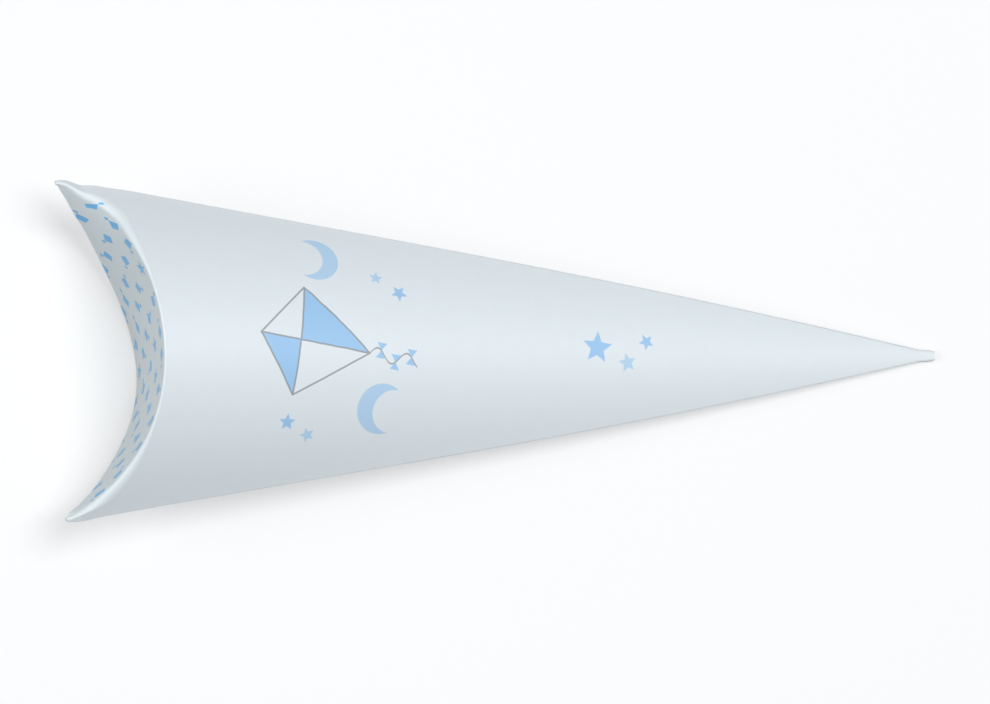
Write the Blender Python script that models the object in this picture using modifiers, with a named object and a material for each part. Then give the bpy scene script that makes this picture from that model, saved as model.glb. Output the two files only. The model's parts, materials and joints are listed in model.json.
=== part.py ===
"""Paper favor cone: one die-cut card blank, folded, glued along one edge and bowed into a pointed pouch.

Lengths are in metres. In the cone's own frame x runs from the mouth's two corners to the tip,
z = 0 is the plane that holds both long folds, and the front panel is the upper one. The finished
cone lies on its back panel: the frame is tipped so that the panel's lowest strip is level.
"""
import math

import bpy
import numpy as np

MM = 0.001

# The card, and the room left where one panel of the blank meets the next
CARD = 0.4 * MM
FOLD_GAP = 0.3 * MM
CREASE_RADIUS = 0.3 * MM

# The pouch
CONE_LENGTH = 186.0 * MM
MOUTH_WIDTH = 67.5 * MM
MOUTH_THICKNESS = 31.0 * MM
MOUTH_DEPTH = 18.3 * MM
SECTION_POWER = 1.05
CREASE_POWER = 0.78

# How fast each panel's bow shrinks towards the tip: the front one flattens sooner than its width
FRONT, BACK = 1, -1
TAPER = {FRONT: 1.5, BACK: 1.0}

# The blunt nib at the tip: its width where it starts, its length, and its width at shares of that length
NIB_WIDTH = 1.6 * MM
NIB_LENGTH = 3.2 * MM
NIB_TAPER = ((0.75, 0.85), (1.0, 0.6))

# The end flaps: where they stop short of the corners, how far their bends lie inside the panels'
# faces, and how far past the middle plane the inner one stands
FLAP_END_ANGLE = math.radians(80.0)
FLAP_SHY = 0.1 * MM
INNER_FLAP_RISE = 0.1

# The glue tab and its adhesive
TAB_START = 27.0 * MM
TAB_END = 150.0 * MM
TAB_WIDTH = 7.0 * MM
TAB_END_WIDTH = 3.0 * MM
TAB_EDGE_ROOM = 0.55 * MM
GLUE = 0.12 * MM
GLUE_GAP = 0.06 * MM

# Facets across a panel and along it, round a crease, up a flap, and across the tab
PANEL_COLUMNS = 31
PANEL_ROWS = 8
CREASE_STEPS = 4
FLAP_ROWS = 4
TAB_COLUMNS = 6

# Points on the crease curve, and the spread over which a slope is taken
CREASE_SAMPLES = 721
SLOPE_STEP = 0.01

# Surface
SHARP_EDGE = math.radians(35.0)
ROUGHNESS = 0.55

PAPER = (0.86, 0.90, 0.93, 1.0)
PRINTED_PAPER = (0.72, 0.80, 0.84, 1.0)
BARE_CARD = (0.90, 0.90, 0.88, 1.0)
ADHESIVE = (0.80, 0.74, 0.58, 1.0)

# Sizes that follow from the ones above
HALF_WIDTH = MOUTH_WIDTH / 2
NIB_SHARE = NIB_WIDTH / MOUTH_WIDTH
NIB_START = CONE_LENGTH - NIB_LENGTH
APEX = NIB_START / (1 - NIB_SHARE)
MOUTH_SHARE = 1 - MOUTH_DEPTH / APEX
MOUTH_HEIGHT = MOUTH_THICKNESS / 2 - CARD - FOLD_GAP / 2
FULL_HEIGHT = {side: MOUTH_HEIGHT / MOUTH_SHARE ** TAPER[side] for side in (FRONT, BACK)}
PANEL_ANGLES = np.linspace(-math.pi / 2, math.pi / 2, PANEL_COLUMNS + 1)
PANEL_SPREAD = np.sin(PANEL_ANGLES)
PANEL_PROFILE = np.clip(np.cos(PANEL_ANGLES), 0, 1) ** (2 * SECTION_POWER)


def share_at(x):
    """How much of the section is left at x: it shrinks evenly towards the point where the folds meet."""
    return (APEX - x) / APEX


def half_height(spread, x, side):
    """Inside height of a panel above the middle plane, on the ruling at this share of the half width."""
    return FULL_HEIGHT[side] * share_at(x) ** TAPER[side] * np.interp(spread, PANEL_SPREAD, PANEL_PROFILE)


def steepness(spread, side):
    """Length of a panel's slope across the cone, for each unit of width."""
    low = np.clip(spread - SLOPE_STEP, -1, 1)
    high = np.clip(spread + SLOPE_STEP, -1, 1)
    rise = np.interp(high, PANEL_SPREAD, PANEL_PROFILE) - np.interp(low, PANEL_SPREAD, PANEL_PROFILE)
    slope = rise * FULL_HEIGHT[side] / ((high - low) * HALF_WIDTH)
    return np.sqrt(1 + slope ** 2)


def crease_curve(inset):
    """The mouth's crease on the middle plane, moved inwards by inset, as spreads and x values."""
    angles = np.linspace(-math.pi / 2, math.pi / 2, CREASE_SAMPLES)
    x = MOUTH_DEPTH * np.clip(np.cos(angles), 0, 1) ** (2 * CREASE_POWER)
    y = np.sin(angles) * HALF_WIDTH * share_at(x)
    run_x = np.gradient(x)
    run_y = np.gradient(y)
    length = np.hypot(run_x, run_y)
    x = x + inset * run_y / length
    y = y - inset * run_x / length
    return y / (HALF_WIDTH * share_at(x)), x


def crease_x(spread, inset=0.0):
    """Where the ruling at this spread meets the mouth's crease, moved inwards by inset."""
    spreads, x = crease_curve(inset)
    return np.interp(spread, spreads, x)


def panel_points(edge_inset, side):
    """Inner face of the front or back panel, from the mouth to the end of the nib."""
    edge = crease_x(PANEL_SPREAD, edge_inset)
    rows = []
    for part in np.linspace(0, 1, PANEL_ROWS + 1):
        x = edge + part * (NIB_START - edge)
        y = PANEL_SPREAD * HALF_WIDTH * share_at(x)
        rows.append((x, y, half_height(PANEL_SPREAD, x, side)))
    for along, width in NIB_TAPER:
        x = np.full_like(PANEL_SPREAD, NIB_START + along * NIB_LENGTH)
        y = PANEL_SPREAD * width * NIB_WIDTH / 2
        rows.append((x, y, half_height(PANEL_SPREAD, NIB_START, side) * (1 - along)))
    points = np.array(rows).transpose(0, 2, 1)
    points[..., 2] = side * (points[..., 2] + FOLD_GAP / 2)
    return points


def flap_points(front_inset, side, free_edge):
    """Outer face of an end flap, from its free edge to the crease, where it bends over to its panel."""
    reach = [a for a in PANEL_ANGLES if abs(a) < FLAP_END_ANGLE]
    spread = np.sin(np.array([-FLAP_END_ANGLE] + reach + [FLAP_END_ANGLE]))
    front = crease_x(spread, front_inset)
    bend_run = crease_x(spread, front_inset + CARD + CREASE_RADIUS) - front
    bend_drop = CARD * steepness(spread, side) + CREASE_RADIUS
    y = spread * HALF_WIDTH * share_at(front)
    crease_z = half_height(spread, front, side) + CARD * steepness(spread, side) + FOLD_GAP / 2 - FLAP_SHY
    wall_top = crease_z - bend_drop
    free_z = free_edge(spread, front)
    rows = []
    for part in np.linspace(0, 1, FLAP_ROWS + 1):
        rows.append((front, y, free_z + part * (wall_top - free_z)))
    for angle in np.linspace(0, math.pi / 2, CREASE_STEPS + 1)[1:]:
        x = front + bend_run * (1 - math.cos(angle))
        y_bent = spread * HALF_WIDTH * share_at(x)
        z = wall_top + bend_drop * math.sin(angle)
        rows.append((x, y_bent, z))
    points = np.array(rows).transpose(0, 2, 1)
    points[..., 2] *= side
    return points


def far_panel(spread, x):
    """Height of the outer flap's free edge, level with the back panel's face."""
    return -half_height(spread, x, BACK) - FOLD_GAP / 2


def past_middle(spread, x):
    """Height of the inner flap's free edge, measured on its own side of the middle plane."""
    return -INNER_FLAP_RISE * half_height(spread, x, FRONT)


def tab_points(lift):
    """A strip along the seam, this far inside the back panel, narrowing towards the tip."""
    rows = []
    for part in np.linspace(0, 1, PANEL_ROWS + 1):
        x = TAB_START + part * (TAB_END - TAB_START)
        width = TAB_WIDTH + part * (TAB_END_WIDTH - TAB_WIDTH)
        room = (TAB_EDGE_ROOM / (FULL_HEIGHT[BACK] * share_at(x))) ** (1 / (2 * SECTION_POWER))
        outer = -math.sqrt(1 - room ** 2)
        inner = outer + width / (HALF_WIDTH * share_at(x))
        spread = np.linspace(outer, inner, TAB_COLUMNS + 1)
        y = spread * HALF_WIDTH * share_at(x)
        z = -half_height(spread, x, BACK) - FOLD_GAP / 2
        slope = np.gradient(z, y)
        length = np.sqrt(1 + slope ** 2)
        rows.append((np.full_like(y, x), y - lift * slope / length, z + lift / length))
    return np.array(rows).transpose(0, 2, 1)


def material(name, colour):
    """A plain card or adhesive material."""
    made = bpy.data.materials.new(name)
    made.use_nodes = True
    shader = made.node_tree.nodes["Principled BSDF"]
    shader.inputs["Base Color"].default_value = colour
    shader.inputs["Roughness"].default_value = ROUGHNESS
    shader.inputs["Metallic"].default_value = 0.0
    made.diffuse_color = colour
    return made


def sheet(name, points, thickness, towards, colour, origin=(0.0, 0.0, 0.0)):
    """A piece of card: a grid laid through the points, thickened towards its face or its back."""
    rows, columns = points.shape[:2]
    bpy.ops.mesh.primitive_grid_add(x_subdivisions=columns - 1, y_subdivisions=rows - 1, size=1.0)
    piece = bpy.context.object
    piece.name = name
    piece.data.name = name
    for vertex in piece.data.vertices:
        column = round((vertex.co.x + 0.5) * (columns - 1))
        row = round((vertex.co.y + 0.5) * (rows - 1))
        vertex.co = points[row, column] - np.array(origin)
    piece.location = origin
    piece.data.materials.append(material(name, colour))
    piece.data.shade_smooth()
    piece.data.set_sharp_from_angle(angle=SHARP_EDGE)
    shell = piece.modifiers.new("card", "SOLIDIFY")
    shell.thickness = thickness
    shell.offset = towards
    shell.use_even_offset = True
    return piece


def world_bounds(pieces):
    """Lowest and highest corner of the finished pieces."""
    bpy.context.view_layer.update()
    graph = bpy.context.evaluated_depsgraph_get()
    corners = []
    for piece in pieces:
        shape = piece.evaluated_get(graph)
        corners += [piece.matrix_world @ v.co for v in shape.data.vertices]
    corners = np.array(corners)
    return corners.min(axis=0), corners.max(axis=0)


def rest_tilt():
    """Angle that levels the back panel's middle strip, which runs from the mouth to the nib."""
    middle = np.sin(PANEL_ANGLES[PANEL_COLUMNS // 2 + PANEL_COLUMNS % 2])
    mouth = crease_x(middle, BACK_EDGE)
    drop = half_height(middle, mouth, BACK) - half_height(middle, NIB_START, BACK)
    return math.atan2(drop, NIB_START - mouth)


# How far behind the outer flap's face each edge at the mouth lies
INNER_FACE = CARD + FOLD_GAP
FRONT_EDGE = CARD + CREASE_RADIUS + FOLD_GAP
BACK_EDGE = INNER_FACE + FRONT_EDGE

for old in list(bpy.data.objects):
    bpy.data.objects.remove(old)
collection = bpy.data.collections.new("paper_favor_cone")
bpy.context.scene.collection.children.link(collection)

# Panels and flaps of the blank
crease_height = half_height(0.0, crease_x(0.0), FRONT) + CARD + FOLD_GAP / 2 - FLAP_SHY
outer_hinge = (float(crease_x(0.0)), 0.0, float(crease_height))
inner_height = half_height(0.0, crease_x(0.0, INNER_FACE), BACK) + CARD + FOLD_GAP / 2 - FLAP_SHY
inner_hinge = (float(crease_x(0.0, INNER_FACE)), 0.0, -float(inner_height))
pieces = [
    sheet("front_panel", panel_points(FRONT_EDGE, FRONT), CARD, -1, PAPER),
    sheet("back_panel", panel_points(BACK_EDGE, BACK), CARD, 1, PAPER),
    sheet("outer_flap", flap_points(0.0, FRONT, far_panel), CARD, 1, PRINTED_PAPER, outer_hinge),
    sheet("inner_flap", flap_points(INNER_FACE, BACK, past_middle), CARD, -1, PRINTED_PAPER, inner_hinge),
    sheet("seam_glue", tab_points(GLUE_GAP), GLUE, -1, ADHESIVE),
    sheet("glue_tab", tab_points(2 * GLUE_GAP + GLUE), CARD, -1, BARE_CARD),
]

# The cone laid on its back panel, with the origin under the middle of its box
frame = bpy.data.objects.new("cone_frame", None)
collection.objects.link(frame)
for piece in pieces:
    for home in list(piece.users_collection):
        home.objects.unlink(piece)
    collection.objects.link(piece)
    piece.parent = frame
frame.rotation_euler = (0.0, rest_tilt(), 0.0)
low, high = world_bounds(pieces)
frame.location = (-(low[0] + high[0]) / 2, -(low[1] + high[1]) / 2, -low[2])
bpy.context.view_layer.update()
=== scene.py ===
# %% [markdown]
# # A folded paper favor cone
# The real cone is one die-cut piece of card. Two long panels are glued along one edge, and the
# creases at the wide mouth are curved, so pressing the two end flaps in makes the panels bow out
# and locks the mouth shut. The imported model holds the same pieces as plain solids, and here they
# get their final shape, print and light.

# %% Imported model
import json
import math

import bpy
import numpy as np
from mathutils import Matrix, Vector


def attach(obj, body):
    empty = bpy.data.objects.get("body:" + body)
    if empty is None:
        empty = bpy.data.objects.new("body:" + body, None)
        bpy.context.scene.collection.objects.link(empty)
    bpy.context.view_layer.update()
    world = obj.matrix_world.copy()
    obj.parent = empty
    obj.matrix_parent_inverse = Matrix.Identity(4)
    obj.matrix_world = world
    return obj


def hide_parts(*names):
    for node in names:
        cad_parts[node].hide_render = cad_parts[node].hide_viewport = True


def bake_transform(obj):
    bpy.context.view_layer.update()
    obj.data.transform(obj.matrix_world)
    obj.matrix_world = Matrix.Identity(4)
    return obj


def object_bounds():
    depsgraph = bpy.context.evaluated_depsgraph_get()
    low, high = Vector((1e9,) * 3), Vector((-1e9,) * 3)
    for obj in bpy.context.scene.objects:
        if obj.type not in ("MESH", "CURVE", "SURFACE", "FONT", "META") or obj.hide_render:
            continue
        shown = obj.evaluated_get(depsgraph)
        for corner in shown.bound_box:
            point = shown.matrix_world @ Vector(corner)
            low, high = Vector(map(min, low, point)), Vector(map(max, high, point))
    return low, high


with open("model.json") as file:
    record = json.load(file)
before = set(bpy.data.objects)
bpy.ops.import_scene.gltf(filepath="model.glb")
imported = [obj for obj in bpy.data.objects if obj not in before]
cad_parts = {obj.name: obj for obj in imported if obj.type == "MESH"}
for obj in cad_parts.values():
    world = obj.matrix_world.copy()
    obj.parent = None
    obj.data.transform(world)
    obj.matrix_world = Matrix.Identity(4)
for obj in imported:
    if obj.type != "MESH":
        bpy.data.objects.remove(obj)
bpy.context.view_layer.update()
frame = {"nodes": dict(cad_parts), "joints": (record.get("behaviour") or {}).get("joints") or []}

print("packed nodes:", sorted(frame["nodes"]))

# %% [markdown]
# ## The cone's own measure
# A tapered pouch is easiest to describe in its own frame: x runs from the mouth's two corners to
# the tip, and the plane z = 0 holds both long folds. Every cross section is a bowed lens. The back
# panel shrinks evenly towards the tip, and the front one flattens sooner, because the folds hold
# narrow card down more firmly than wide card. The side folds bow outwards by about a millimetre,
# since a panel that flattens needs more room for the same width of card. Formulas are used, and
# not points moved by hand, so that every piece of card follows the same surface.

# %% Measures of the cone
MM = 0.001
CARD = 0.4 * MM
FOLD_GAP = 0.3 * MM
CONE_LENGTH = 186.0 * MM
MOUTH_WIDTH = 67.5 * MM
MOUTH_THICKNESS = 31.0 * MM
MOUTH_DEPTH = 18.3 * MM
SECTION_POWER = 1.05
CREASE_POWER = 0.78
NIB_WIDTH = 1.6 * MM
NIB_LENGTH = 3.2 * MM
NIB_PLACES, NIB_WIDTHS = (0, 0.75, 1), (1, 0.85, 0.6)
FRONT, BACK = 1, -1
TAPER = {FRONT: 1.5, BACK: 1.0}
HALF_WIDTH = MOUTH_WIDTH / 2
NIB_START = CONE_LENGTH - NIB_LENGTH
APEX = NIB_START / (1 - NIB_WIDTH / MOUTH_WIDTH)
MOUTH_SHARE = 1 - MOUTH_DEPTH / APEX
MOUTH_HEIGHT = MOUTH_THICKNESS / 2 - CARD - FOLD_GAP / 2
FULL_HEIGHT = {side: MOUTH_HEIGHT / MOUTH_SHARE ** TAPER[side] for side in TAPER}
FOLD_BOW, FOLD_BOW_SKEW = 1.3 * MM, 1.4
CORNER_ZONE = (0.5 * MM, 7.0 * MM)
CORNER_GAP = 0.2


def half_width_at(x):
    """Half the inside width at x: a taper whose folds bow outwards a little, then the blunt nib."""
    along = np.clip((x - NIB_START) / NIB_LENGTH, 0, 1)
    nib = NIB_WIDTH / 2 * np.interp(along, NIB_PLACES, NIB_WIDTHS)
    bow = FOLD_BOW * np.sin(math.pi * np.clip(x / NIB_START, 0, 1) ** FOLD_BOW_SKEW)
    return np.where(x < NIB_START, HALF_WIDTH * (APEX - x) / APEX + bow, nib)


def crown_at(x, side):
    """Height of a panel's middle above the plane of the folds, inside the card."""
    along = np.clip((x - NIB_START) / NIB_LENGTH, 0, 1)
    share = (APEX - np.minimum(x, NIB_START)) / APEX
    return FULL_HEIGHT[side] * share ** TAPER[side] * (1 - along)


def smooth(value, low, high):
    """0 below low, 1 above high, and an even curve between."""
    part = np.clip((value - low) / (high - low), 0, 1)
    return part * part * (3 - 2 * part)


def grown(x, least):
    """A share that grows from least at the two corners to 1 a few millimetres behind them."""
    return least + (1 - least) * smooth(x, *CORNER_ZONE)


def ceiling(spread, x, side):
    """Inside height of a panel on the ruling at this share of the half width."""
    bow = np.clip(1 - spread ** 2, 0, 1) ** SECTION_POWER
    return crown_at(x, side) * bow + FOLD_GAP / 2 * grown(x, CORNER_GAP)


for side, panel in ((FRONT, "front"), (BACK, "back")):
    print("%s panel: %.1f mm high at the mouth, %.1f mm halfway" % (
        panel, crown_at(MOUTH_DEPTH, side) / MM, crown_at(CONE_LENGTH / 2, side) / MM))

# %% [markdown]
# ## Where the cone lies
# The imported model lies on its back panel, a few degrees off the cone's own frame. Its two hinges
# sit in the middle of the two curved creases, so the line between them gives both the tilt and the
# place, and nothing has to be copied by hand.

# %% The cone's place in the frame
HINGE_SINK = 0.122 * MM
INNER_FACE = CARD + FOLD_GAP


def crease_middle(x, side):
    """The hinge point on a panel's crease, in the cone's own frame."""
    return np.array((x, 0.0, side * (crown_at(x, side) + CARD + FOLD_GAP / 2 - HINGE_SINK)))


def pitch(line):
    """Angle of a line in the side view, above the level."""
    return math.atan2(line[2], line[0])


hinge_at = {joint["name"]: np.array(joint["pos_m"]) for joint in frame["joints"]}
outer_crease = crease_middle(MOUTH_DEPTH, FRONT)
inner_crease = crease_middle(MOUTH_DEPTH + INNER_FACE, BACK)
hinge_line = hinge_at["outer_flap_hinge"] - hinge_at["inner_flap_hinge"]
lie_tilt = pitch(outer_crease - inner_crease) - pitch(hinge_line)
lie_down = np.array(Matrix.Rotation(lie_tilt, 3, "Y"))
lie_shift = hinge_at["outer_flap_hinge"] - lie_down @ outer_crease


def to_room(point):
    """A point of the cone's frame where the cone lies at rest."""
    return tuple(float(value) for value in lie_down @ np.array(point) + lie_shift)


print("tilt %.3f degrees, corners at %s" % (math.degrees(lie_tilt), to_room((0, 0, 0))))

# %% [markdown]
# ## The curved crease
# Seen from above, the mouth is a deep hollow curve that starts and ends at the two sharp corners.
# The end flap stands on this curve, so the wall, the rounded lip and the panel's edge are all the
# same curve moved inwards by a little more each time. Moving it along its own normal keeps the
# card one thickness all the way round. A crease folded by hand also drifts a millimetre or two
# from the die's curve, and the drift here was measured against the real one.

# %% The crease and its offsets
DRIFT = {FRONT: (-2.19, -1.58, 5.22, 1.33, 2.91), BACK: (0.77, -3.23, -3.85, 0.07, -4.93)}
CORNER_DRIFT = {FRONT: ((1.7, 0.84, 0.12),), BACK: ((-0.7, 0.92, 0.10), (-1.2, -0.94, 0.08))}
DRIFT_END = (0.96, 1.0)
CORNER_PINCH, PINCH_ZONE = 0.92, (0.90, 0.995)
CREASE_POINTS = 1441
crease_angles = np.linspace(-math.pi / 2, math.pi / 2, CREASE_POINTS)


def crease_curve(inset, side):
    """The front or back crease, moved inwards by inset, as spreads and x values."""
    spread = np.sin(crease_angles)
    drift = sum(amount * MM * spread ** power for power, amount in enumerate(DRIFT[side])) * (1 - spread ** 2)
    kept = 1 - smooth(abs(spread), *DRIFT_END)
    for amount, middle, reach in CORNER_DRIFT[side]:
        drift = drift + amount * MM * np.exp(-((spread - middle) / reach) ** 2) * kept
    x = MOUTH_DEPTH * np.clip(np.cos(crease_angles), 0, 1) ** (2 * CREASE_POWER) + drift
    y = spread * half_width_at(x)
    run_x, run_y = np.gradient(x), np.gradient(y)
    length = np.hypot(run_x, run_y)
    x = x + inset * run_y / length
    y = y - inset * run_x / length
    return y / half_width_at(x), x


def crease_x(spread, inset, side):
    """Where the ruling at each spread meets the crease moved inwards, and less so at the corners."""
    spread, inset = np.broadcast_arrays(np.asarray(spread, float), np.asarray(inset, float))
    inset = inset * (1 - CORNER_PINCH * smooth(abs(spread), *PINCH_ZONE))
    found = [np.interp(s, *crease_curve(i, side)) for s, i in zip(spread.ravel(), inset.ravel())]
    return np.array(found).reshape(spread.shape)


for side in (FRONT, BACK):
    print("crease depth at the middle: %.2f mm" % (float(crease_x(0.0, 0.0, side)) / MM))

# %% [markdown]
# ## Corners as a hand leaves them
# On the real cone the two corners of the mouth aren't as crisp as the die's drawing. Each is a
# little blunt, dented beside its end where a thumb pressed the flap in, and drawn out lengthwise.
# They could be pushed about with a sculpting brush, but one small formula that moves the points of
# every sheet alike keeps panels, flaps and glue in touch with each other there.

# %% Corners as folded
FOLD_SIDE, SEAM_SIDE = 1, -1
BLUNT = {FOLD_SIDE: 0.80, SEAM_SIDE: 0.55}
BLUNT_LENGTH = 0.9 * MM
DENTS = {FOLD_SIDE: ((0.60, 4.8, 2.0), (0.22, 9.2, 3.6)), SEAM_SIDE: ((-0.25, 3.0, 3.0),)}
CORNER_PULL = {FOLD_SIDE: 0.75, SEAM_SIDE: 0.35}
PULL_LENGTH = 5.0 * MM
CORNER_SHARE = (0.5, 1.0)


def settled(points):
    """The points with the two corners as a hand leaves them: blunt, dented and pulled out a little."""
    x, y, z = (points[..., axis] for axis in range(3))
    width = half_width_at(x)
    moved_x, moved_y = x, y
    for edge in (FOLD_SIDE, SEAM_SIDE):
        share = smooth(edge * y / width, *CORNER_SHARE)
        inwards = BLUNT[edge] * np.exp(-np.maximum(x, 0) / BLUNT_LENGTH)
        for depth, middle, reach in DENTS[edge]:
            inwards = inwards + depth * np.exp(-((x / MM - middle) / reach) ** 2)
        moved_y = moved_y - edge * share * inwards * MM
        room = np.maximum(width - edge * y, 0) + np.maximum(x, 0)
        moved_x = moved_x - CORNER_PULL[edge] * MM * np.exp(-room / PULL_LENGTH)
    return np.stack([moved_x, moved_y, z], axis=-1)


for edge, name in ((FOLD_SIDE, "fold"), (SEAM_SIDE, "seam")):
    corner = np.array((0.0, edge * HALF_WIDTH, 0.0))
    print("%s corner moves by %s mm" % (name, np.round((settled(corner) - corner) / MM, 2)))

# %% [markdown]
# ## Laying card through points
# Card is a sheet of even thickness. A flat grid is added with one vertex for each point, like the
# blank before folding, each vertex is carried to its folded place, and Solidify gives the sheet its
# thickness outwards. The flat sizes go into a UV map, so a print laid out in millimetres on the
# blank wraps round the folds as real ink does. Moving each vertex by formula is used because no
# hand tool can bend a grid along a curved crease without stretching it.

# %% Card sheet helper
OUTSIDE, INSIDE, CUT_EDGE = 0, 1, 2
SOFTEST_FOLD = math.radians(40)


def card_sheet(name, points, flat, thickness=CARD):
    """One sheet of card from its inner face: points and flat are rows by columns."""
    rows, columns = points.shape[:2]
    bpy.ops.object.select_all(action="DESELECT")
    bpy.ops.mesh.primitive_grid_add(x_subdivisions=columns - 1, y_subdivisions=rows - 1, size=1.0)
    piece = bpy.context.object
    piece.name = name
    piece.data.name = name
    mesh = piece.data
    where = np.array([vertex.co for vertex in mesh.vertices])
    column = np.rint((where[:, 0] + 0.5) * (columns - 1)).astype(int)
    row = np.rint((where[:, 1] + 0.5) * (rows - 1)).astype(int)
    mesh.vertices.foreach_set("co", (settled(points)[row, column] @ lie_down.T + lie_shift).ravel())
    corner = np.empty(len(mesh.loops), dtype=int)
    mesh.loops.foreach_get("vertex_index", corner)
    layer = mesh.uv_layers[0]
    layer.name = "flat"
    layer.data.foreach_set("uv", (flat[row[corner], column[corner]] / MM).ravel())
    for face in (OUTSIDE, INSIDE, CUT_EDGE):
        bpy.ops.object.material_slot_add()
    bpy.ops.object.modifier_add(type="SOLIDIFY")
    shell = piece.modifiers[-1]
    shell.thickness = thickness
    shell.offset = 1
    shell.use_even_offset = False
    shell.material_offset = INSIDE
    shell.material_offset_rim = CUT_EDGE
    bpy.ops.object.modifier_apply(modifier=shell.name)
    bpy.ops.object.shade_smooth_by_angle(angle=SOFTEST_FOLD)
    print("%s: %d vertices, %d faces" % (name, len(mesh.vertices), len(mesh.polygons)))
    return piece


def lengths_along(points):
    """Distance along each row of points, from its first column."""
    steps = np.linalg.norm(np.diff(points, axis=1), axis=2)
    return np.concatenate([np.zeros((len(points), 1)), np.cumsum(steps, axis=1)], axis=1)


# %% [markdown]
# ## The lip at the mouth
# Where the card turns from a panel into its end flap, the real crease is tight in the middle and
# slackens to a soft, rounded lip towards both corners, because there the flap turns back almost on
# itself. Bevelling the edge afterwards would round it evenly, so its reach is set here first, and
# the panel stops where the lip begins.

# %% Width of the lip
LIP_RADIUS = 0.06 * MM
SEAM_LIP_RADIUS, SEAM_LIP_ZONE = 1.6 * MM, (0.40, 0.98)
FOLD_LIP_RADIUS, FOLD_LIP_ZONE = 1.6 * MM, (0.30, 0.92)
LIP_OF_HEIGHT = 0.95
LIP_SLANT = 1.1
PANEL_COLUMNS = 181
panel_angles = np.linspace(-90, 90, PANEL_COLUMNS)
spreads = np.sin(np.radians(panel_angles))


def lip_radius(spread, side):
    """How far the crease's turn reaches: tight at the middle, slack towards both corners."""
    radius = LIP_RADIUS + (SEAM_LIP_RADIUS - LIP_RADIUS) * smooth(-spread, *SEAM_LIP_ZONE)
    radius = radius + (FOLD_LIP_RADIUS - LIP_RADIUS) * smooth(spread, *FOLD_LIP_ZONE)
    return np.minimum(radius, LIP_OF_HEIGHT * ceiling(spread, crease_x(spread, 0.0, side), side))


front_mouth = crease_x(spreads, CARD + LIP_SLANT * lip_radius(spreads, FRONT), FRONT)
back_mouth = crease_x(spreads, INNER_FACE + CARD + LIP_SLANT * lip_radius(spreads, BACK), BACK)
print("lip radius up to %.2f mm" % (lip_radius(spreads, FRONT).max() / MM))

# %% [markdown]
# ## The pouch
# Both panels, the fold between them and the glue tab are one wound strip on the real cone: the tab
# starts inside, turns round the seam edge, and the card goes over the front, round the side fold
# and back underneath, where its cut edge covers the tab. Three sheets side by side would be quicker,
# but one wound grid gives real folds and a real cut edge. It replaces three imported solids.

# %% Width of the glue tab
TAB_START, TAB_END = 27.0 * MM, 150.0 * MM
TAB_START_EASE, TAB_END_EASE = (-3 * MM, 3 * MM), (-2 * MM, 3 * MM)
TAB_WIDTH, TAB_END_WIDTH = 7.0 * MM, 3.0 * MM
STRIP_WIDTH, STRIP_SHARE, STRIP_LEAST = 0.8 * MM, 0.12, 0.1 * MM
STRIP_ZONE = (2 * MM, 12 * MM)


def tab_width(x):
    """Width of the glue tab at x, with a narrow strip left beside the fold beyond its two ends."""
    part = np.clip((x - TAB_START) / (TAB_END - TAB_START), 0, 1)
    full = TAB_WIDTH + part * (TAB_END_WIDTH - TAB_WIDTH)
    begun = smooth(x - TAB_START, *TAB_START_EASE)
    ended = smooth(x - TAB_END, *TAB_END_EASE)
    strip = np.minimum(STRIP_WIDTH, STRIP_SHARE * half_width_at(x)) * smooth(x, *STRIP_ZONE) + STRIP_LEAST
    return strip + (full - strip) * begun * (1 - ended)


print("glue tab: %.1f mm wide at its middle" % (float(tab_width((TAB_START + TAB_END) / 2)) / MM))

# %% Rows of the panels
def panel_row(share, mouth, side, columns):
    """One row of points over a panel, this share of the way from the mouth to the tip."""
    x = mouth + share * (CONE_LENGTH - mouth)
    z = side * ceiling(columns, x, side)
    return np.stack([x, columns * half_width_at(x), z], axis=1)


SLOPE_STEP = 0.02 * MM


def back_point(x, y):
    """Inner face of the back panel at x and y, and its direction into the hollow."""
    width = half_width_at(x)
    height = -ceiling(y / width, x, BACK)
    ahead, behind = ceiling((y + SLOPE_STEP) / width, x, BACK), ceiling((y - SLOPE_STEP) / width, x, BACK)
    rise = (behind - ahead) / (2 * SLOPE_STEP)
    size = math.sqrt(1 + rise * rise)
    return height, np.array((0.0, -rise / size, 1.0 / size))


print("back panel's edge slopes inwards by", np.round(back_point(CONE_LENGTH / 2, -HALF_WIDTH / 3)[1], 2))

# %% Rows of the glue tab
TAB_COLUMNS = 7
SEAM_TURNS = (0.3, 0.55, 0.8)
TAB_ROOM, TAB_ROOM_SHARE, TAB_ROOM_LEAST = 0.9 * MM, 0.25, 0.15
TAB_LIFT, TAB_LIFT_SHARE, TAB_LIFT_LEAST = CARD + 0.24 * MM, 0.45, 0.2
TAB_REACH_LEAST = 0.3
SEAM_DROP, SEAM_DROP_CROWN, SEAM_DROP_LEAST = 0.35 * MM, 2 * MM, 0.3


def tab_room(width):
    """Space between the glue tab and the fold, where the pouch is this half wide."""
    return min(TAB_ROOM, TAB_ROOM_SHARE * width)


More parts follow.
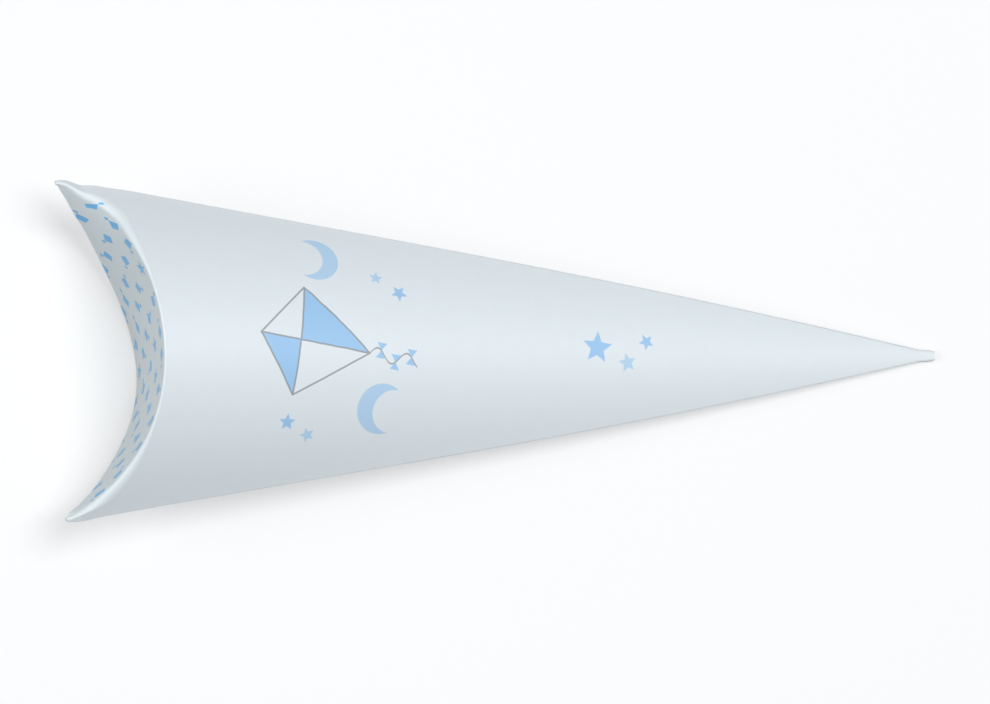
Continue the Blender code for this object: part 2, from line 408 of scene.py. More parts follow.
def tab_row(x):
    """Points of the glue tab at x, from its inner cut edge to the fold, and of the fold itself."""
    width = float(half_width_at(x))
    crown = float(crown_at(x, BACK))
    room = tab_room(width) * float(grown(x, TAB_ROOM_LEAST))
    lift = min(TAB_LIFT, TAB_LIFT_SHARE * crown) * float(grown(x, TAB_LIFT_LEAST))
    reach = float(tab_width(x)) * float(grown(x, TAB_REACH_LEAST))
    row = []
    for part in np.linspace(0, 1, TAB_COLUMNS):
        y = -width + room + reach * (1 - part)
        height, inwards = back_point(x, y)
        row.append(np.array((x, y, height)) + inwards * lift)
    start = np.array((x, -width, float(ceiling(-1.0, x, FRONT))))
    drop = SEAM_DROP * min(1.0, crown / SEAM_DROP_CROWN) * float(grown(x, SEAM_DROP_LEAST))
    turn = np.array((x, -width, -drop))
    for part in SEAM_TURNS:
        row.append(row[TAB_COLUMNS - 1] * (1 - part) ** 2 + turn * 2 * part * (1 - part) + start * part ** 2)
    return np.array(row)


print("glue tab and seam fold: %d points in a row" % len(tab_row(CONE_LENGTH / 2)))

# %% Rows of the wound strip
FOLD_TURNS = (0.8, 0.0, -0.8)
EDGE_ROOM, EDGE_ROOM_SHARE, EDGE_ROOM_LEAST = 0.45 * MM, 0.2, 0.25


def wound_row(share):
    """The whole strip at one share of the length: tab, seam fold, front, side fold and back."""
    front = panel_row(share, front_mouth, FRONT, spreads)
    seam_x, fold_x = front[0, 0], front[-1, 0]
    radius = front[-1, 2]
    fold = [(fold_x, front[-1, 1] + radius * math.cos(turn), radius * math.sin(turn)) for turn in FOLD_TURNS]
    width = float(half_width_at(seam_x))
    room = min(EDGE_ROOM, EDGE_ROOM_SHARE * width) * float(grown(seam_x, EDGE_ROOM_LEAST))
    kept = spreads[::-1] + (1 - spreads[::-1]) * room / width / 2
    under = panel_row(share, np.interp(kept, spreads, back_mouth), BACK, kept)
    return np.concatenate([tab_row(seam_x), front, fold, under])


print("wound strip: %d points in a row" % len(wound_row(0.0)))

# %% [markdown]
# ## Flat sizes of the strip
# The print is laid out on the flat blank, so every point needs its place there. Blender's own
# unwrapping would find a layout, but in its own turn and scale. The distance over the card from the
# front's middle line, and the way along the cone, are the flat place in true millimetres.

# %% Flat sizes of the wound strip
ARC_STEPS = 33


def arc_across(spread, x, side):
    """Distance over the card from a panel's middle to each point, straight across the cone."""
    way = np.linspace(0, 1, ARC_STEPS)[:, None, None] * spread
    y, z = way * half_width_at(x), ceiling(way, x, side)
    return np.hypot(np.diff(y, axis=0), np.diff(z, axis=0)).sum(axis=0) * np.sign(spread)


def wound_flat(points):
    """Flat place of each point: its x, and its distance across from the front's middle."""
    first = TAB_COLUMNS + len(SEAM_TURNS)
    last = first + PANEL_COLUMNS - 1
    across = lengths_along(points)
    front = arc_across(spreads, points[:, first:last + 1, 0], FRONT)
    across = np.concatenate([
        across[:, :first] - across[:, first:first + 1] + front[:, :1],
        front,
        across[:, last + 1:] - across[:, last:last + 1] + front[:, -1:]], axis=1)
    return np.stack([points[..., 0], across], axis=2)


# %% [markdown]
# ## The glue line
# One line of glue holds the tab under the back panel. It is squeezed thin, and a little narrower
# than the tab, and it follows the seam's bow. A flat ribbon pushed between the two would cut into
# the bowed card, so its points come from the same surface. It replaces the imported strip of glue.

# %% Dried glue line
GLUE_THICKNESS, GLUE_ROOM = 0.12 * MM, 0.06 * MM
GLUE_SHARES = (0.04, 0.80)
GLUE_ROWS, GLUE_COLUMNS = 48, 6
GLUE_RUN = (TAB_END - 1 * MM, TAB_START + 3 * MM)


def glue_row(x):
    """Upper face of the glue between the back panel and the tab, a little narrower than the tab."""
    width = float(half_width_at(x))
    reach = float(tab_width(x))
    row = []
    for part in np.linspace(GLUE_SHARES[1], GLUE_SHARES[0], GLUE_COLUMNS):
        y = -width + tab_room(width) + reach * part
        height, inwards = back_point(x, y)
        row.append(np.array((x, y, height)) + inwards * (GLUE_ROOM + GLUE_THICKNESS))
    return np.array(row)


glue_points = np.array([glue_row(x) for x in np.linspace(*GLUE_RUN, GLUE_ROWS)])
glue_line = card_sheet("dried_glue_line", glue_points, glue_points[..., :2], GLUE_THICKNESS)
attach(glue_line, "pouch")
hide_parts("seam_glue")

# %% Printed card of the pouch
NEAR_MOUTH, NEAR_TIP = 0.16, 0.975
MOUTH_ROWS, MIDDLE_ROWS, TIP_ROWS = 24, 34, 8
ROW_CROWDING = 1.6
shares = np.concatenate([
    NEAR_MOUTH * np.linspace(0, 1, MOUTH_ROWS, endpoint=False) ** ROW_CROWDING,
    np.linspace(NEAR_MOUTH, NEAR_TIP, MIDDLE_ROWS, endpoint=False),
    np.linspace(NEAR_TIP, 1, TIP_ROWS)])[::-1]
pouch_points = np.array([wound_row(share) for share in shares])
pouch = card_sheet("printed_card", pouch_points, wound_flat(pouch_points))
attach(pouch, "pouch")
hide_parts("front_panel", "back_panel", "glue_tab")

# %% [markdown]
# ## The end flaps
# Each flap hangs from its curved crease: a soft turn where the card goes over, then a wall that is
# flat from top to bottom and curved along the mouth. The outer one reaches the far panel and covers
# the inner one, which stops a little past the middle. A round bead laid along the crease would do
# for the lip, but a turn that ends along the wall leaves no dark line between the two, and as part
# of the flap it carries the print over the lip as on the real one.

# %% Points of a flap
FLAP_REACH = 89
INNER_REACH_SIDE = 87
INNER_SEAM_REACH = 83
LIP_STEPS, WALL_ROWS = 11, 14
WALL_KEPT = 0.55
INNER_REACH = 0.55
outer_spreads = spreads[abs(panel_angles) <= FLAP_REACH]
inner_spreads = spreads[(panel_angles >= -INNER_SEAM_REACH) & (panel_angles <= INNER_REACH_SIDE)]


def flap_points(columns, behind, side, far_share):
    """Inner face of an end flap: a soft turn over from its panel, then the wall to the free edge."""
    radius = lip_radius(columns, side)

    def rim(inset, height_side):
        x = crease_x(columns, inset, height_side)
        z = side * height_side * ceiling(columns, x, height_side)
        return np.stack([x, columns * half_width_at(x), z], axis=1)

    start = rim(behind + CARD + LIP_SLANT * radius, side)
    bend = rim(behind + CARD, side)
    wall = rim(behind + CARD, -side) - bend
    turned_share = np.minimum(radius / np.linalg.norm(wall, axis=1), 1 - WALL_KEPT)[:, None]
    rows = []
    turned_end = bend + wall * turned_share
    for part in np.linspace(0, 1, LIP_STEPS):
        rows.append(start * (1 - part) ** 2 + bend * 2 * part * (1 - part) + turned_end * part ** 2)
    for part in np.linspace(0, 1, WALL_ROWS)[1:]:
        rows.append(bend + wall * (turned_share + part * (far_share - turned_share)))
    made = np.array(rows)
    made[..., 2] *= side
    return made if side == FRONT else made[:, ::-1]


def flap_flat(made):
    """Flat place of each point: along the crease from its middle, and down from the turn's middle."""
    drops = np.linalg.norm(np.diff(made, axis=0), axis=2)
    down = np.concatenate([np.zeros((1, made.shape[1])), np.cumsum(drops, axis=0)])
    down = down - down[LIP_STEPS // 2]
    along = lengths_along(made[LIP_STEPS:LIP_STEPS + 1])[0]
    return np.stack([np.broadcast_to(along - along[-1] / 2, down.shape), down], axis=2)


print("flaps: %d and %d columns" % (len(outer_spreads), len(inner_spreads)))

# %% Outer end flap
outer_points = flap_points(outer_spreads, 0.0, FRONT, 1.0)
outer_flap = card_sheet("outer_end_flap", outer_points, flap_flat(outer_points))
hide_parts("outer_flap")

# %% Inner end flap
inner_points = flap_points(inner_spreads, INNER_FACE, BACK, INNER_REACH)
inner_flap = card_sheet("inner_end_flap", inner_points, flap_flat(inner_points))
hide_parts("inner_flap")

# %% [markdown]
# ## How the flaps open
# A real flap is held along its whole crease and springs outwards. A flap that only rode on its joint
# would tear away from the curved crease. Here each flap only has its place baked into its mesh, and
# the plane where a bend would start is worked out. It slopes, so that it clears the joined edge at
# both corners and still starts close to the middle.

# %% Where a bend would start
BEND_SLOPE = {FRONT: math.radians(24), BACK: math.radians(33)}


def blend_flap(piece, side, joined):
    """Find where a bend from a sloping plane would start, past the edge joined to the panel, and bake the
    flap's place.
    """
    away = np.array((math.cos(BEND_SLOPE[side]), 0.0, -side * math.sin(BEND_SLOPE[side])))
    kept = float((settled(joined) @ away).max()) + CARD
    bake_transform(piece)


blend_flap(outer_flap, FRONT, outer_points[0])
blend_flap(inner_flap, BACK, inner_points[0])

# %% [markdown]
# ## Arithmetic for the print
# Every pattern on the card is worked out by the material's own nodes, from the millimetres of the
# flat blank, so it stays sharp at any size. Wiring dozens of Math nodes by hand is slow to write and
# to read. A small class lets plain arithmetic make them instead: adding two fields adds a node.

# %% Fields over the card
class Field:
    """A number that varies over the card: a node's output that takes plain arithmetic."""

    def __init__(self, tree, socket):
        self.tree = tree
        self.socket = socket

    def math(self, operation, *others):
        node = self.tree.nodes.new("ShaderNodeMath")
        node.operation = operation
        for plug, value in zip(node.inputs, (self,) + others):
            wire(self.tree, value, plug)
        return Field(self.tree, node.outputs[0])

    def __add__(self, other):
        return self.math("ADD", other)

    def __sub__(self, other):
        return self.math("SUBTRACT", other)

    def __mul__(self, other):
        return self.math("MULTIPLY", other)

    def __abs__(self):
        return self.math("ABSOLUTE")


def wire(tree, value, plug):
    """Join a field or a socket to an input, or set the input to a plain value."""
    if isinstance(value, Field):
        tree.links.new(value.socket, plug)
    elif isinstance(value, bpy.types.NodeSocket):
        tree.links.new(value, plug)
    else:
        plug.default_value = value


def turned(along, across, angle):
    """The same place read on axes turned by an angle, given as a field or in radians."""
    if isinstance(angle, Field):
        cosine, sine = angle.math("COSINE"), angle.math("SINE")
    else:
        cosine, sine = math.cos(angle), math.sin(angle)
    return along * cosine + across * sine, across * cosine - along * sine


# %% [markdown]
# ## Shapes of the print
# Each shape is a signed distance in millimetres, below zero inside it. The nearest of several
# distances draws several shapes at once, and one soft step at zero turns distance into ink, which
# gives a clean edge like that of offset print.

# %% Star and kite
STAR_POINTS, STAR_HOLLOW = 5, 0.46


def nearest(*distances):
    """Distance to whichever shape is nearest."""
    found = distances[0]
    for distance in distances[1:]:
        found = found.math("MINIMUM", distance)
    return found


def star(along, across, radius):
    """A five-pointed star: both sides of every point fold onto one straight edge."""
    half_point = math.pi / STAR_POINTS
    reach = (along * along + across * across).math("SQRT")
    sector = across.math("ARCTAN2", along).math("PINGPONG", half_point)
    inner = STAR_HOLLOW * radius
    normal_x, normal_y = inner * math.sin(half_point), radius - inner * math.cos(half_point)
    size = math.hypot(normal_x, normal_y)
    slanted = sector.math("COSINE") * (normal_x / size) + sector.math("SINE") * (normal_y / size)
    return reach * slanted - radius * normal_x / size


def kite(along, across, length, shoulder, half_width):
    """A kite with its nose at the start: two straight edges, mirrored across its spine."""
    side = abs(across)
    nose_size = math.hypot(shoulder, half_width)
    tail_size = math.hypot(length - shoulder, half_width)
    nose = side * (shoulder / nose_size) - along * (half_width / nose_size)
    tail = (along - length) * (half_width / tail_size) + side * ((length - shoulder) / tail_size)
    return nose.math("MAXIMUM", tail)


print("a star's hollows lie at %.0f %% of its radius" % (100 * STAR_HOLLOW))

# %% Spot, moon, bow and ink
MOON_BITE_AT, MOON_BITE_RADIUS = (0.45, 0.25), 0.86
BOW_SPREAD = 0.7
INK_EDGE = 0.14


def disc(along, across, radius):
    """A round spot."""
    return (along * along + across * across).math("SQRT") - radius


def crescent(along, across, radius):
    """A moon: a round spot with another one cut out of its side."""
    bite_along, bite_across = (place * radius for place in MOON_BITE_AT)
    bite = disc(along - bite_along, across - bite_across, MOON_BITE_RADIUS * radius)
    return disc(along, across, radius).math("MAXIMUM", bite * -1.0)


def bow(along, across, reach):
    """A bow tied in the kite's tail: two little triangles, point to point."""
    return (abs(along) - abs(across) * BOW_SPREAD).math("MAXIMUM", abs(across) - reach)


def inked(distance):
    """1 where a shape is printed and 0 outside it, with a soft step at its edge."""
    ink = distance.math("MULTIPLY_ADD", -1.0 / INK_EDGE, 0.5)
    ink.socket.node.use_clamp = True
    return ink


print("ink edge: %.2f mm" % INK_EDGE)

# %% [markdown]
# ## Card
# The real card is coated on the printed side: almost smooth, with a soft sheen, a faint mottle
# where the coating sank into the fibres, and a slight waviness that only shows in the sheen. The
# uncoated inside is duller and a little warmer, with fibres showing. All faces share one recipe,
# set by a few numbers, which is simpler to keep even than three separate node trees.

# %% Noise and mixes
MIX_AMOUNT, MIX_BELOW, MIX_ABOVE, MIX_RESULT = 0, 6, 7, 2


def noise(tree, place, scale, detail, roughness=0.5):
    """Cloudy noise over the flat blank, about even around 0.5."""
    node = tree.nodes.new("ShaderNodeTexNoise")
    node.inputs["Scale"].default_value = scale
    node.inputs["Detail"].default_value = detail
    node.inputs["Roughness"].default_value = roughness
    tree.links.new(place, node.inputs["Vector"])
    return Field(tree, node.outputs["Fac"])


def stretched(tree, place, scale):
    """The same place with each axis scaled, for fibres that lie along the sheet."""
    node = tree.nodes.new("ShaderNodeMapping")
    node.inputs["Scale"].default_value = scale
    tree.links.new(place, node.inputs["Vector"])
    return node.outputs["Vector"]


def blended(tree, amount, below, above):
    """Two colours mixed by a field."""
    node = tree.nodes.new("ShaderNodeMix")
    node.data_type = "RGBA"
    wire(tree, amount, node.inputs[MIX_AMOUNT])
    wire(tree, below, node.inputs[MIX_BELOW])
    wire(tree, above, node.inputs[MIX_ABOVE])
    return node.outputs[MIX_RESULT]


def tinted(colour, factor):
    """A colour made lighter or darker, with its alpha."""
    return tuple(channel * factor for channel in colour) + (1.0,)


# %% Card recipe
CLOUDS, CLOUD_WEIGHT = (0.35, 4.0, 0.6), 1.6
FIBRES, FIBRE_STRETCH, FIBRE_WEIGHT = (1.7, 3.0, 0.65), (1.1, 4.2, 1.0), 0.9
WAVES = (0.055, 1.5)
INK_GLOSS = 0.05


class Card:
    """The nodes of one face of card: where it is on the blank, its colour so far and its relief."""

    def __init__(self, name, colour, mottle, roughness, roughness_change, fibre, wave):
        self.material = bpy.data.materials.new(name)
        self.material.use_nodes = True
        self.tree = self.material.node_tree
        self.shader = self.tree.nodes["Principled BSDF"]
        blank = self.tree.nodes.new("ShaderNodeUVMap")
        blank.uv_map = "flat"
        self.flat = blank.outputs["UV"]
        split = self.tree.nodes.new("ShaderNodeSeparateXYZ")
        self.tree.links.new(self.flat, split.inputs["Vector"])
        self.along = Field(self.tree, split.outputs["X"])
        self.across = Field(self.tree, split.outputs["Y"])
        clouds = noise(self.tree, self.flat, *CLOUDS)
        fibres = noise(self.tree, stretched(self.tree, self.flat, FIBRE_STRETCH), *FIBRES)
        waves = noise(self.tree, self.flat, *WAVES)
        patches = (clouds - 0.5) * CLOUD_WEIGHT + (fibres - 0.5) * FIBRE_WEIGHT + 0.5
        self.colour = blended(self.tree, patches, tinted(colour, 1 - mottle), tinted(colour, 1 + mottle))
        self.roughness = (clouds + fibres - 1.0) * roughness_change + roughness
        self.relief = fibres * fibre + waves * wave

    def print_ink(self, coverage, colour):
        """Lay ink over the card where coverage is 1, with the slight gloss that ink has."""
        self.colour = blended(self.tree, coverage, self.colour, tinted(colour, 1.0))
        self.roughness = self.roughness - coverage * INK_GLOSS

    def finish(self):
        """Join the colour, gloss and relief to the shader."""
        relief = self.tree.nodes.new("ShaderNodeBump")
        relief.inputs["Strength"].default_value = 1.0
        relief.inputs["Distance"].default_value = MM
        wire(self.tree, self.relief, relief.inputs["Height"])
        wire(self.tree, self.colour, self.shader.inputs["Base Color"])
        wire(self.tree, self.roughness, self.shader.inputs["Roughness"])
        self.tree.links.new(relief.outputs["Normal"], self.shader.inputs["Normal"])
        print("%s: %d nodes" % (self.material.name, len(self.tree.nodes)))
        return self.material


# %% [markdown]
# ## Print on the front
# The front carries one picture near the mouth and three small motifs further down, drawn so that
# they stand upright when the cone hangs by its tip. The picture here is a plain kite among moons
# and stars, in pale blue with a thin grey outline. Its line wavers a little, like a pencil line
# that was scanned, because the place it is drawn at is nudged by noise.

# %% Moons and stars
MOONS = ((50.5, 18.6, 5.0, 2.5), (63.0, -12.6, 5.2, -0.7))
BLUE_STARS = (
    (43.0, -15.6, 1.8, 0.3), (67.5, 11.0, 1.8, 0.9), (110.0, 0.6, 3.3, 0.2), (121.0, 1.9, 1.7, 0.8))
PALE_STARS = ((47.6, -18.2, 1.6, 0.7), (63.0, 14.4, 1.5, 0.1), (116.6, -2.3, 2.0, 0.5))


def placed(card, shape, places):
    """Distance to the nearest of several shapes: along, across, radius and turn of each."""
    drawn = []
    for along, across, radius, turn in places:
        drawn.append(shape(*turned(card.along - along, card.across - across, turn), radius))
    return nearest(*drawn)


print("front print: %d moons, %d stars" % (len(MOONS), len(BLUE_STARS + PALE_STARS)))

# %% Kite
PRINT_BLUE = (0.345, 0.575, 0.84)
OUTLINE_GREY, OUTLINE_INK = (0.275, 0.292, 0.301), 0.9
LINE_HALF = 0.17
LINE_WAVER, WAVER_NOISE = 0.22, (0.35, 1.0)
KITE_AT, KITE_TURN = (36.8, 2.2), math.radians(-9)
KITE_LENGTH, KITE_SHOULDER, KITE_HALF = 23.5, 8.6, 11.0
TAIL_LENGTH, TAIL_SWING, TAIL_WAVE = 10.5, 1.3, 6.4
BOWS, BOW_REACH = (2.4, 5.7, 9.0), 1.5


def draw_kite(card):
    """The kite: two filled quarters, its outline and spars, and a tail with bows."""
    nudge = (noise(card.tree, card.flat, *WAVER_NOISE) - 0.5) * LINE_WAVER
    along, across = turned(card.along - KITE_AT[0] + nudge, card.across - KITE_AT[1] + nudge, KITE_TURN)
    outline = kite(along, across, KITE_LENGTH, KITE_SHOULDER, KITE_HALF)
    quarter = (along - KITE_SHOULDER) * across
    filled = outline.math("MAXIMUM", quarter * -1.0)
    tail_at = along - KITE_LENGTH
    swing = (tail_at * (2 * math.pi / TAIL_WAVE)).math("SINE") * TAIL_SWING
    tail = (abs(across - swing) - LINE_HALF).math("MAXIMUM", abs(tail_at - TAIL_LENGTH / 2) - TAIL_LENGTH / 2)
    bows = []
    for place in BOWS:
        middle = math.sin(2 * math.pi * place / TAIL_WAVE) * TAIL_SWING
        bows.append(bow(tail_at - place, across - middle, BOW_REACH))
    spars = nearest(abs(across) - LINE_HALF, abs(along - KITE_SHOULDER) - LINE_HALF).math("MAXIMUM", outline)
    card.print_ink(inked(nearest(filled, *bows)), PRINT_BLUE)
    card.print_ink(inked(nearest(abs(outline) - LINE_HALF, spars, tail)) * OUTLINE_INK, OUTLINE_GREY)


print("kite: %.1f mm long, %.1f mm wide" % (KITE_LENGTH, 2 * KITE_HALF))

# %% Front material
PANEL_WHITE = (0.780, 0.828, 0.855)
PALE_BLUE = (0.47, 0.66, 0.85)
COATED = {"mottle": 0.012, "roughness": 0.44, "roughness_change": 0.16, "fibre": 0.004, "wave": 0.05}
front_card = Card("front_card", PANEL_WHITE, **COATED)
front_card.print_ink(inked(placed(front_card, crescent, MOONS)), PALE_BLUE)
draw_kite(front_card)
front_card.print_ink(inked(placed(front_card, star, BLUE_STARS)), PRINT_BLUE)
front_card.print_ink(inked(placed(front_card, star, PALE_STARS)), PALE_BLUE)
front_face = front_card.finish()

# %% [markdown]
# ## Print on the end flaps
# The end flaps are covered with a scattered pattern of small motifs in a stronger blue, turned
# every way. A real pattern like this is a staggered repeat, so the flap is cut into cells, each
# second row is moved along by half a cell, and each cell's own random number turns its motif, nudges
# it and chooses between a little kite with a dot under it and a star.

# %% Chance for each cell
def chances(card, column, row):
    """Three random fields from 0 to 1, the same all over a cell and new in the next one."""
    place = card.tree.nodes.new("ShaderNodeCombineXYZ")
    wire(card.tree, column, place.inputs["X"])
    wire(card.tree, row, place.inputs["Y"])
    chance = card.tree.nodes.new("ShaderNodeTexWhiteNoise")
    chance.noise_dimensions = "2D"
    card.tree.links.new(place.outputs["Vector"], chance.inputs["Vector"])
    split = card.tree.nodes.new("ShaderNodeSeparateColor")
    card.tree.links.new(chance.outputs["Color"], split.inputs["Color"])
    return [Field(card.tree, split.outputs[name]) for name in ("Red", "Green", "Blue")]


# %% Flap print
FLAP_BLUE = (0.18, 0.50, 0.84)
CELL, CELL_NUDGE, PATTERN_SHIFT = 6.2, 0.9, 0.10
PRINT_START, PRINT_REACH = -0.35, 34.5
MOTIF_KITE, MOTIF_START = (3.2, 1.3, 1.4), -2.1
DOT_AT, DOT_RADIUS = 1.65, 0.46
MOTIF_STAR, STAR_SHARE = 1.9, 0.3


def scattered_motifs(card):
    """Distance to the motif of the cell that each place on the flap falls in."""
    down = card.across * (1 / CELL) + PATTERN_SHIFT
    row = down.math("FLOOR")
    half_cell = row.math("FLOORED_MODULO", 2.0) * 0.5
    along = card.along * (1 / CELL) + half_cell
    column = along.math("FLOOR")
    first, second, third = chances(card, column, row)
    inside_x = (along - column - 0.5) * CELL + (first - 0.5) * CELL_NUDGE
    inside_y = (down - row - 0.5) * CELL + (second - 0.5) * CELL_NUDGE
    motif_x, motif_y = turned(inside_x, inside_y, third * (2 * math.pi))
    dot = disc(motif_x - DOT_AT, motif_y, DOT_RADIUS)
    kites = nearest(kite(motif_x - MOTIF_START, motif_y, *MOTIF_KITE), dot)
    chosen = first.math("LESS_THAN", STAR_SHARE)
    outside = abs(column + 0.5 - half_cell).math("GREATER_THAN", PRINT_REACH / CELL)
    drawn = kites + (star(motif_x, motif_y, MOTIF_STAR) - kites) * chosen + outside * CELL
    return drawn.math("MAXIMUM", card.across * -1.0 + PRINT_START)


# %% Flap material
# The flaps' white is the front's card made a touch darker and less blue: painted shade for the shade the end
# flaps sit in, not another card.
FLAP_WHITE_PAINTED_SHADE = (0.768, 0.822, 0.838)
flap_card = Card("flap_card_printed_painted_shade", FLAP_WHITE_PAINTED_SHADE, **COATED)
flap_card.print_ink(inked(scattered_motifs(flap_card)), FLAP_BLUE)
flap_face = flap_card.finish()

# %% [markdown]
# ## Bare card and cut edges
# Inside, the board is uncoated: duller, slightly warmer, with fibres that show. A die-cut edge is
# rougher still. Both come from the recipe above with other numbers. A sheet has three slots, for
# its outside, inside and cut edge, which Solidify gave to the right faces when it made them.

# %% Bare card and cut edge
BARE_CARD = (0.77, 0.775, 0.75)
UNCOATED = {"mottle": 0.035, "roughness": 0.78, "roughness_change": 0.2, "fibre": 0.012, "wave": 0.05}
bare_face = Card("bare_card_inside", BARE_CARD, **UNCOATED).finish()
EDGE_CARD = (0.80, 0.83, 0.83)
DIE_CUT = {"mottle": 0.05, "roughness": 0.85, "roughness_change": 0.2, "fibre": 0.03, "wave": 0.0}
cut_face = Card("cut_card_edge", EDGE_CARD, **DIE_CUT).finish()
for piece, outside in ((pouch, front_face), (outer_flap, flap_face), (inner_flap, flap_face)):
    for face, material in ((OUTSIDE, outside), (INSIDE, bare_face), (CUT_EDGE, cut_face)):
        piece.material_slots[face].material = material

# %% [markdown]
# ## Dried adhesive
# The glue under the seam dries to a thin, yellowish, half-glossy film with small bubbles. One
# colour would do for something this hidden, but a cone pulled apart shows it, so large clouds of
# noise mix its thin and thick places, and fine noise makes the bubbles in its gloss and relief.

# %% Dried adhesive
GLUE_THIN, GLUE_THICK = (0.80, 0.75, 0.60, 1.0), (0.66, 0.56, 0.36, 1.0)
GLUE_CLOUDS, GLUE_BUBBLES = (260.0, 3.0), (1400.0, 2.0)
GLUE_ROUGHNESS, GLUE_ROUGHNESS_CHANGE = 0.25, 0.3
GLUE_RELIEF = 0.05 * MM
glue = bpy.data.materials.new("dried_adhesive")
glue.use_nodes = True
glue_tree = glue.node_tree
glue_place = glue_tree.nodes.new("ShaderNodeTexCoord").outputs["Object"]
glue_clouds = noise(glue_tree, glue_place, *GLUE_CLOUDS)
glue_bubbles = noise(glue_tree, glue_place, *GLUE_BUBBLES)
glue_shader = glue_tree.nodes["Principled BSDF"]
glue_relief = glue_tree.nodes.new("ShaderNodeBump")
glue_relief.inputs["Distance"].default_value = GLUE_RELIEF
wire(glue_tree, glue_bubbles, glue_relief.inputs["Height"])
wire(glue_tree, blended(glue_tree, glue_clouds, GLUE_THIN, GLUE_THICK), glue_shader.inputs["Base Color"])
glue_gloss = glue_bubbles * GLUE_ROUGHNESS_CHANGE + GLUE_ROUGHNESS
wire(glue_tree, glue_gloss, glue_shader.inputs["Roughness"])
glue_tree.links.new(glue_relief.outputs["Normal"], glue_shader.inputs["Normal"])
for slot in glue_line.material_slots:
    slot.material = glue
print("%s: %d nodes" % (glue.name, len(glue_tree.nodes)))

# %% [markdown]
# ## Floor and background
# The cone is shown on plain white. A white floor under strong lamps would do that too, but it would
# light the card's turned-in sides from below and flatten their roundness. So the floor looks white
# to the camera, partly by a glow of its own that leaves the cone's shadow faint but there, and
# throws back only a little light. The Light Path node tells the two kinds of look apart.

# %% Floor
WHITE = (1.0, 1.0, 1.0, 1.0)
FLOOR_SIZE = 6.0
FLOOR_ROOM = 0.02 * MM
FLOOR_SEEN, FLOOR_GLOW, FLOOR_THROWN = 0.42, 0.56, 0.30
FLOOR_ROUGHNESS, FLOOR_SPECULAR = 0.9, 0.1


def looked_at(tree):
    """1 for the camera's own rays and for mirror and glass rays, 0 for the light that objects get."""
    path = tree.nodes.new("ShaderNodeLightPath")
    seen = Field(tree, path.outputs["Is Camera Ray"]) + Field(tree, path.outputs["Is Glossy Ray"])
    seen = seen + Field(tree, path.outputs["Is Transmission Ray"])
    seen.socket.node.use_clamp = True
    return seen


def grey(level):
    """A plain grey, with its alpha."""
    return (level, level, level, 1.0)


bpy.ops.object.select_all(action="DESELECT")
floor_height = min(0.0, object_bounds()[0][2]) - FLOOR_ROOM
bpy.ops.mesh.primitive_plane_add(size=FLOOR_SIZE, location=(0, 0, floor_height))
floor = bpy.context.object
floor.name = "floor"
floor_paint = bpy.data.materials.new("floor_paint")
floor_paint.use_nodes = True
floor_tree = floor_paint.node_tree
floor_shader = floor_tree.nodes["Principled BSDF"]
floor_shader.inputs["Roughness"].default_value = FLOOR_ROUGHNESS
floor_shader.inputs["Specular IOR Level"].default_value = FLOOR_SPECULAR
floor_seen = looked_at(floor_tree)
floor_colour = blended(floor_tree, floor_seen, grey(FLOOR_THROWN), grey(FLOOR_SEEN))
wire(floor_tree, floor_colour, floor_shader.inputs["Base Color"])
floor_shader.inputs["Emission Color"].default_value = WHITE
wire(floor_tree, floor_seen * FLOOR_GLOW, floor_shader.inputs["Emission Strength"])
floor.data.materials.append(floor_paint)
print("floor %.2f mm below the lowest point" % (FLOOR_ROOM / MM))

# %% Surroundings
SKY_COLOUR, SKY_LEVEL = (0.52, 0.76, 1.0, 1.0), 0.10
studio = bpy.data.worlds.new("studio")
bpy.context.scene.world = studio
studio.use_nodes = True
sky = studio.node_tree.nodes["Background"]
seen = looked_at(studio.node_tree)
wire(studio.node_tree, blended(studio.node_tree, seen, SKY_COLOUR, WHITE), sky.inputs["Color"])
wire(studio.node_tree, seen * (1 - SKY_LEVEL) + SKY_LEVEL, sky.inputs["Strength"])
print("surroundings: white to the camera, %.0f %% as strong for the cone" % (100 * SKY_LEVEL))

# %% [markdown]
# ## Lamps
# One large soft lamp hangs overhead, a little towards the tip, and makes the broad sheen along the
# panel's crown. A weaker one stands on the side that the mouth faces, so that the end flap isn't
# lost in shade. A single sun lamp would be simpler, but its shadows are hard and its sheen narrow.

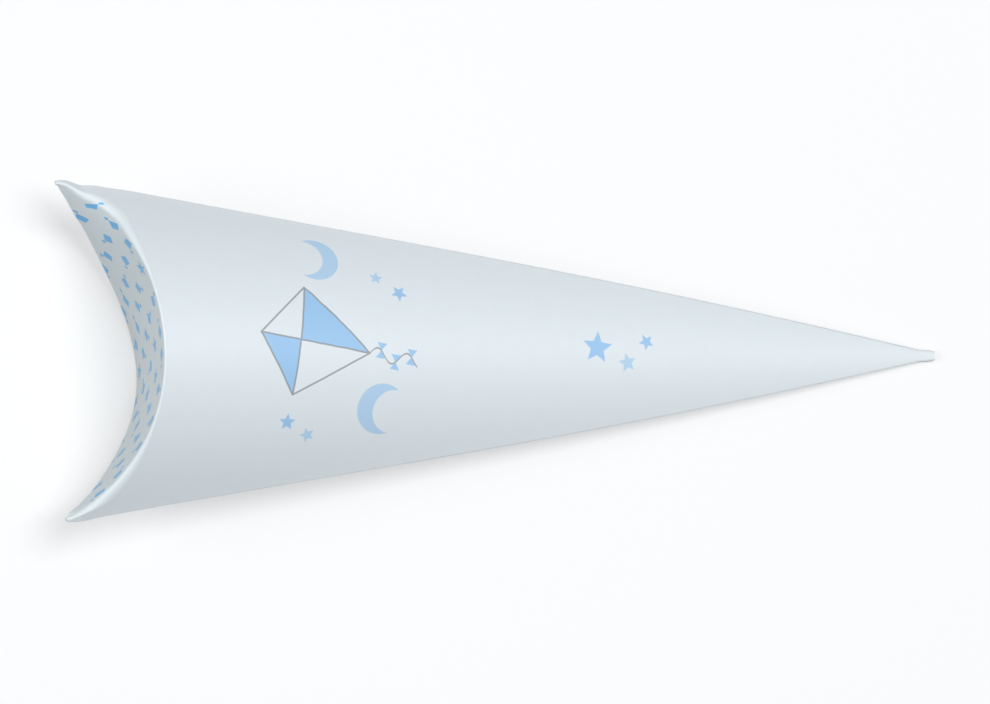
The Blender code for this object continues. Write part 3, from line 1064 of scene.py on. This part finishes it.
# %% Lamps
def softbox(name, location, size, power, colour=(1.0, 1.0, 1.0)):
    """A round soft lamp aimed at the middle of the cone."""
    bpy.ops.object.light_add(type="AREA", location=location)
    lamp = bpy.context.object
    lamp.name = name
    lamp.data.shape = "DISK"
    lamp.data.size = size
    lamp.data.energy = power
    lamp.data.color = colour
    lamp.rotation_euler = (-Vector(location)).to_track_quat("-Z", "Y").to_euler()
    return lamp


softbox("overhead_softbox", location=(0.25, 0.16, 1.45), size=0.8, power=17.0)
softbox("mouth_side_softbox", location=(-1.25, 0.0, 0.75), size=0.7, power=8.6, colour=(0.97, 1.0, 1.0))

# %% [markdown]
# ## Camera
# The view looks down on the cone, a little from the mouth's side. Its tilt, lean and roll, and the
# length of its lens in pixels, were worked out from the mouth's corners, the tip and the curve of
# the crease. The picture's middle isn't the cone's middle, so the aim is moved by a few pixels.

# %% Camera at the photo's angle
VIEW_TILT, VIEW_LEAN, VIEW_ROLL = math.radians(14.51), math.radians(7.26), math.radians(2.11)
VIEW_DISTANCE = 1.2
FOCAL_PIXELS = 5958.7
IMAGE_WIDTH, IMAGE_HEIGHT = 990, 704
AIM_PIXEL = (511.7, 353.2)
AIM_POINT = (93.5 * MM, 0.0, 0.0)
SENSOR = 36.0
back = Vector((-math.tan(VIEW_TILT), -math.tan(VIEW_LEAN), 1.0)).normalized()
up = Vector((math.sin(VIEW_ROLL), math.cos(VIEW_ROLL), 0.0))
up = (up - back * up.dot(back)).normalized()
right = up.cross(back)
pixel = VIEW_DISTANCE / FOCAL_PIXELS
aim = Vector(to_room(AIM_POINT))
aim = aim - right * (AIM_PIXEL[0] - IMAGE_WIDTH / 2) * pixel
aim = aim + up * (AIM_PIXEL[1] - IMAGE_HEIGHT / 2) * pixel
bpy.ops.object.camera_add(location=aim + back * VIEW_DISTANCE)
camera = bpy.context.object
camera.name = "camera"
camera.rotation_euler = Matrix((right, up, back)).transposed().to_euler()
camera.data.sensor_width = SENSOR
camera.data.lens = FOCAL_PIXELS * SENSOR / IMAGE_WIDTH
bpy.context.scene.camera = camera
bpy.context.scene.view_settings.view_transform = "Standard"
print("lens: %.0f mm" % camera.data.lens)
